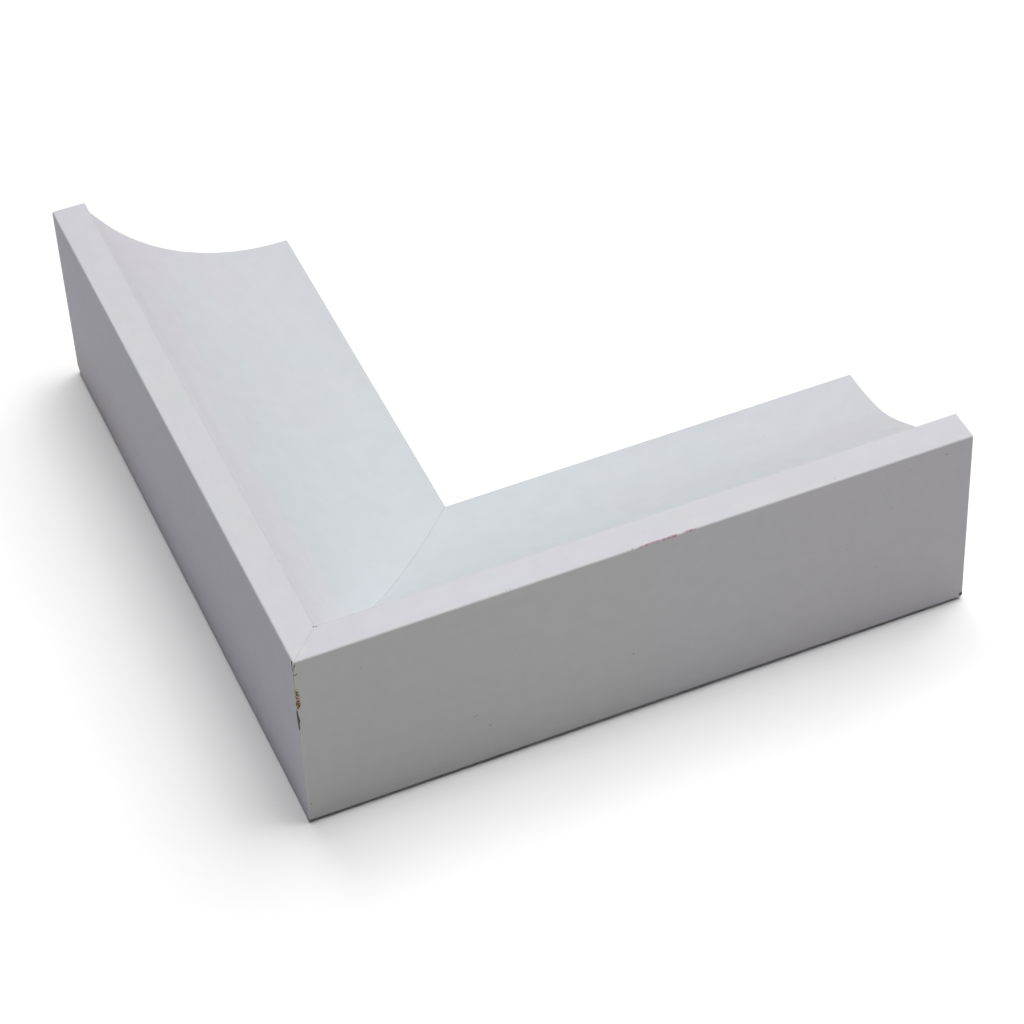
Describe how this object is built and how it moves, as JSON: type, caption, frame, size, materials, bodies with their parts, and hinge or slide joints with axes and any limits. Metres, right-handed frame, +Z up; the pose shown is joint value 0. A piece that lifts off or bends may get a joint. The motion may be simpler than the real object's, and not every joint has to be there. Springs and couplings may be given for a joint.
{
  "type": "scoop moulding corner",
  "caption": "Mitred corner of painted scoop picture-frame moulding: upright outer faces, flat rim, hollow scoop running out level at the sight edge, rabbet below for glass and picture.",
  "frame": {"origin": "bottom centre of the bounding box, on the flat underside", "axes": "+Z up from the underside to the rim; the right leg runs along +X and the left leg along +Y from the outer corner, which is at low X and low Y"},
  "size_m": [0.153, 0.1516, 0.0495],
  "materials": {
    "painted_softwood": "satin white paint over gesso on milled softwood, bare sawn ends, rabbet and underside",
    "nail_steel": "bright rolled steel strip, sheared edges"
  },
  "bodies": {
    "root": {"left_rail": "painted_softwood", "right_rail": "painted_softwood", "v_nail_outer": "nail_steel", "v_nail_inner": "nail_steel"}
  },
  "joints": []
}
